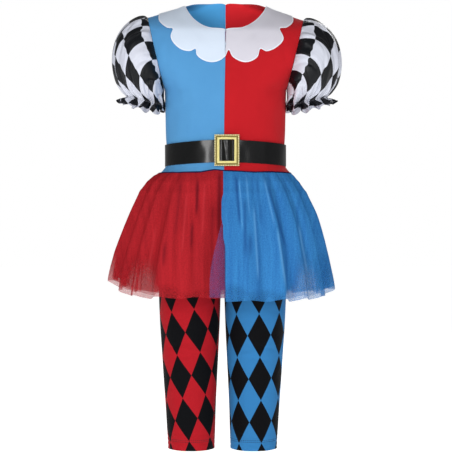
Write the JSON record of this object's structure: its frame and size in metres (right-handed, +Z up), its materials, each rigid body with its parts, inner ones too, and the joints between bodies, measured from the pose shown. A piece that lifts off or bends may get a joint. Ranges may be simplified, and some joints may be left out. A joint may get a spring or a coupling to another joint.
{
  "type": "baby harlequin costume",
  "caption": "Worn-form harlequin costume for a small child: parti-coloured dress with scalloped collar, puff sleeves, buckled belt and net skirt, over diamond leggings.",
  "frame": {"origin": "middle of the neck, level with the points where the neckline meets the shoulder seams", "axes": "+Z up along the body, the front of the costume faces -Y, +X to the wearer's left"},
  "size_m": [0.3468, 0.2862, 0.6705],
  "materials": {
    "blue_knit": "matt brushed knit",
    "red_knit": "matt brushed knit",
    "white_collar": "matt woven",
    "diamond_satin": "thin satin, black and white diamonds",
    "black_gloss_belt": "glossy coated",
    "pale_gold": "polished pale gold",
    "red_net": "fine net",
    "blue_net": "fine net",
    "red_black_knit": "knit, red and black diamonds",
    "blue_black_knit": "knit, blue and black diamonds",
    "waistband_elastic": "matt elastic casing"
  },
  "bodies": {
    "root": {"bodice_front_blue": "blue_knit", "bodice_front_red": "red_knit", "bodice_back_blue": "blue_knit", "bodice_back_red": "red_knit", "collar_right": "white_collar", "collar_left": "white_collar", "sleeve_right": "diamond_satin", "sleeve_left": "diamond_satin", "belt_strap": "black_gloss_belt", "belt_buckle": "pale_gold", "skirt_red": "red_net", "skirt_blue": "blue_net", "skirt_red_under": "red_net", "skirt_blue_under": "blue_net", "legging_right": "red_black_knit", "legging_left": "blue_black_knit", "legging_waistband": "waistband_elastic"}
  },
  "joints": []
}
